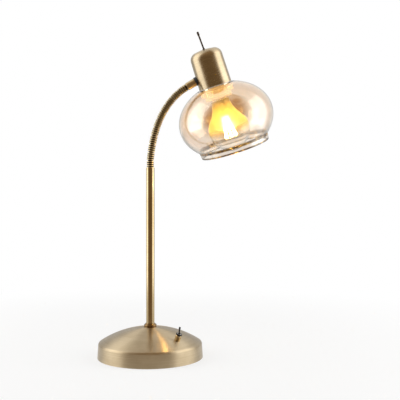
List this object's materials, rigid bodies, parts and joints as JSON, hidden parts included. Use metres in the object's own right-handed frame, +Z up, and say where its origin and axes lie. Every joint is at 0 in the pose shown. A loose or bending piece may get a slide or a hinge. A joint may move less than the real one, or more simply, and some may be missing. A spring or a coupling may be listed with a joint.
{
  "type": "table lamp",
  "caption": "Table lamp with a weighted round base, straight stem, gooseneck and an amber glass globe round a clear bulb.",
  "frame": {"origin": "centre of the base's underside, on the surface that the lamp stands on", "axes": "+Z up along the stem, +X towards the lamp's head, -Y towards the user"},
  "size_m": [0.2517, 0.1566, 0.4619],
  "materials": {
    "amber_glass": "champagne amber lustre glass",
    "antique_brass": "brushed antique brass, lacquered",
    "black_glass": "black vitrite",
    "black_metal": "black nickel",
    "black_plastic": "black nylon",
    "bulb_cap": "nickel plated cap",
    "cast_iron": "raw casting",
    "ceramic": "glazed porcelain",
    "clear_glass": "clear glass",
    "contact_brass": "bare brass",
    "dark_brass": "dark bronzed rod",
    "filament": "lit filament rods",
    "flex_sheath": "black sheath",
    "foam_pad": "black foam rubber",
    "neck_metal": "wound steel neck, antique brass plated",
    "polished_brass": "satin polished antique brass",
    "ring_plastic": "cream moulded ring",
    "silicone": "translucent silicone",
    "white_plastic": "natural nylon",
    "zinc_plate": "zinc plated steel"
  },
  "bodies": {
    "stand": {"base_cover": "antique_brass", "base_nipple": "zinc_plate", "base_nut": "zinc_plate", "base_pad": "foam_pad", "base_washer": "zinc_plate", "base_weight": "cast_iron", "bottom_plate": "zinc_plate", "cord_bush": "black_plastic", "neck_link_01": "neck_metal", "plate_screws": "zinc_plate", "stem_collar": "antique_brass", "stem_flex": "flex_sheath", "stem_tube": "polished_brass", "switch_body": "black_plastic", "switch_bushing": "zinc_plate", "switch_lock_nut": "zinc_plate", "switch_ring_nut": "black_metal", "switch_sleeve": "polished_brass", "terminal_block": "white_plastic"},
    "switch_lever": {"switch_lever": "black_metal"},
    "head": {"cup": "antique_brass", "ferrule": "polished_brass", "glass_shade": "amber_glass", "handle_nut": "zinc_plate", "handle_rod": "dark_brass", "head_nipple": "zinc_plate", "head_nut": "zinc_plate", "holder_body": "ceramic", "holder_contact": "contact_brass", "holder_shell": "contact_brass", "holder_strap": "zinc_plate", "inner_saddle": "black_plastic", "neck_link_11": "neck_metal", "outer_saddle": "black_plastic", "shade_gasket": "silicone", "shade_ring": "ring_plastic", "strap_screws": "zinc_plate"},
    "bulb": {"bulb_cap": "bulb_cap", "bulb_contact": "contact_brass", "bulb_filament": "filament", "bulb_glass": "clear_glass", "bulb_insulator": "black_glass", "bulb_stem": "clear_glass"},
    "neck_02": {"neck_link_02": "neck_metal"},
    "neck_03": {"neck_link_03": "neck_metal"},
    "neck_04": {"neck_link_04": "neck_metal"},
    "neck_05": {"neck_link_05": "neck_metal"},
    "neck_06": {"neck_link_06": "neck_metal"},
    "neck_07": {"neck_link_07": "neck_metal"},
    "neck_08": {"neck_link_08": "neck_metal"},
    "neck_09": {"neck_link_09": "neck_metal"},
    "neck_10": {"neck_link_10": "neck_metal"}
  },
  "joints": [
    {"name": "neck_bend_01", "type": "hinge", "parent": "stand", "child": "neck_02", "pos_m": [0, 0, 0.2816], "axis": [0, 1, 0], "range_deg": [-11, 4]},
    {"name": "neck_sway_02", "type": "hinge", "parent": "neck_02", "child": "neck_03", "pos_m": [0.0014, 0, 0.29352], "axis": [0.9902, 0, -0.14], "range_deg": [-10, 10]},
    {"name": "neck_bend_03", "type": "hinge", "parent": "neck_03", "child": "neck_04", "pos_m": [0.00336, 0, 0.30536], "axis": [0, 1, 0], "range_deg": [-11, 4]},
    {"name": "neck_sway_04", "type": "hinge", "parent": "neck_04", "child": "neck_05", "pos_m": [0.00599, 0, 0.31706], "axis": [0.9674, 0, -0.2531], "range_deg": [-10, 10]},
    {"name": "neck_bend_05", "type": "hinge", "parent": "neck_05", "child": "neck_06", "pos_m": [0.00943, 0, 0.32856], "axis": [0, 1, 0], "range_deg": [-11, 4]},
    {"name": "neck_sway_06", "type": "hinge", "parent": "neck_06", "child": "neck_07", "pos_m": [0.01379, 0, 0.33974], "axis": [0.9141, 0, -0.4056], "range_deg": [-10, 10]},
    {"name": "neck_bend_07", "type": "hinge", "parent": "neck_07", "child": "neck_08", "pos_m": [0.01915, 0, 0.35048], "axis": [0, 1, 0], "range_deg": [-11, 4]},
    {"name": "neck_sway_08", "type": "hinge", "parent": "neck_08", "child": "neck_09", "pos_m": [0.02561, 0, 0.36059], "axis": [0.8107, 0, -0.5855], "range_deg": [-10, 10]},
    {"name": "neck_bend_09", "type": "hinge", "parent": "neck_09", "child": "neck_10", "pos_m": [0.03318, 0, 0.3699], "axis": [0, 1, 0], "range_deg": [-11, 4]},
    {"name": "neck_sway_10", "type": "hinge", "parent": "neck_10", "child": "head", "pos_m": [0.04188, 0, 0.37817], "axis": [0.6374, 0, -0.7705], "range_deg": [-10, 10]},
    {"name": "switch_toggle", "type": "hinge", "parent": "stand", "child": "switch_lever", "pos_m": [0.04204, -0.0406, 0.03875], "axis": [0.6947, 0.7193, 0], "range_deg": [0, 28]},
    {"name": "bulb_withdraw", "type": "slide", "parent": "head", "child": "bulb", "axis": [0.3088, 0.1819, -0.9336], "range_m": [0, 0.112]}
  ],
  "couplings": [
    {"joint": "neck_bend_03", "follows": "neck_bend_01", "ratio": 1},
    {"joint": "neck_sway_04", "follows": "neck_sway_02", "ratio": 1},
    {"joint": "neck_bend_05", "follows": "neck_bend_01", "ratio": 1},
    {"joint": "neck_sway_06", "follows": "neck_sway_02", "ratio": 1},
    {"joint": "neck_bend_07", "follows": "neck_bend_01", "ratio": 1},
    {"joint": "neck_sway_08", "follows": "neck_sway_02", "ratio": 1},
    {"joint": "neck_bend_09", "follows": "neck_bend_01", "ratio": 1},
    {"joint": "neck_sway_10", "follows": "neck_sway_02", "ratio": 1}
  ]
}
